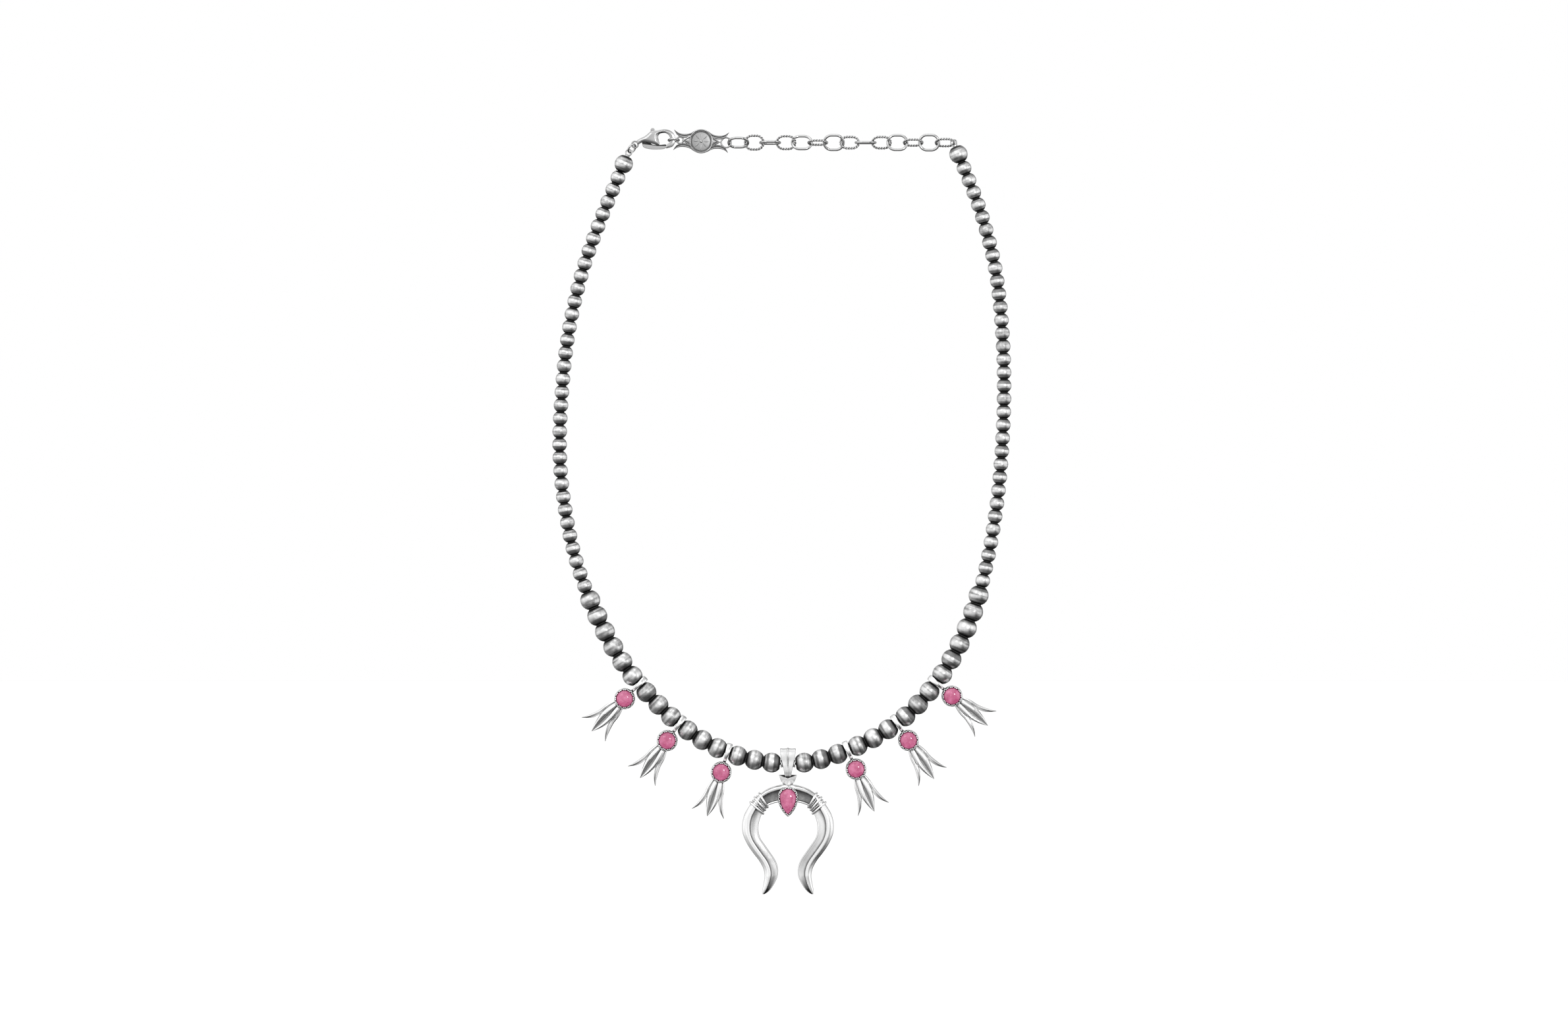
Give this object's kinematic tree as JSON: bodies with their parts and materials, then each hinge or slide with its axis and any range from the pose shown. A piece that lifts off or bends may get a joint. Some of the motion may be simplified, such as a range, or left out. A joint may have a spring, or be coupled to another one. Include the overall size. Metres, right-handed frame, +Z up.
{
  "type": "squash blossom necklace",
  "caption": "Necklace of hollow round beads with flower drops set with round stones, a crescent pendant with a pear-shaped stone, a hook clasp, a tag and an extender chain.",
  "frame": {"origin": "middle of the back chain's line, where the necklace rests on the back of a neck, above the pendant", "axes": "+Z up, -Y to the front that the blossoms and the pendant face, +X to the right of the picture"},
  "size_m": [0.1395, 0.0071, 0.2326],
  "materials": {
    "oxidised_silver": "oxidised silver, brushed satin along the beads' latitude",
    "silver": "polished silver with dark recesses",
    "stone": "polished pink rhodonite with paler and darker clouds",
    "thread": "dark coated bead wire"
  },
  "bodies": {
    "strand": {"thread": "thread", "small_beads_left": "oxidised_silver", "small_beads_right": "oxidised_silver", "large_beads_left": "oxidised_silver", "large_beads_right": "oxidised_silver", "end_bead_left": "oxidised_silver", "end_bead_right": "oxidised_silver", "end_eye_left": "silver", "end_eye_right": "silver", "clasp_ring": "silver", "clasp_body": "silver", "jump_ring": "silver", "tag": "silver", "blossom_left_1": "silver", "blossom_left_2": "silver", "blossom_left_3": "silver", "blossom_right_1": "silver", "blossom_right_2": "silver", "blossom_right_3": "silver", "stone_left_1": "stone", "stone_left_2": "stone", "stone_left_3": "stone", "stone_right_1": "stone", "stone_right_2": "stone", "stone_right_3": "stone", "smooth_link_1": "silver", "smooth_link_2": "silver", "smooth_link_3": "silver", "smooth_link_4": "silver", "smooth_link_5": "silver", "smooth_link_6": "silver", "smooth_link_7": "silver", "twisted_link_1": "silver", "twisted_link_2": "silver", "twisted_link_3": "silver", "twisted_link_4": "silver", "twisted_link_5": "silver", "twisted_link_6": "silver", "twisted_link_7": "silver"},
    "lever": {"clasp_lever": "silver"},
    "pendant": {"naja": "silver", "pear_stone": "stone"}
  },
  "joints": [
    {"name": "clasp_lever_hinge", "type": "hinge", "parent": "strand", "child": "lever", "pos_m": [-0.04345, 0, 0.00084], "axis": [0, -1, 0], "range_deg": [0, 22], "stiffness_Nm_per_rad": 0.002, "springref_deg": -17.19},
    {"name": "pendant_swing", "type": "hinge", "parent": "strand", "child": "pendant", "pos_m": [-0.00021, 0, -0.18869], "axis": [1, 0, 0], "range_deg": [-75, 75]}
  ]
}
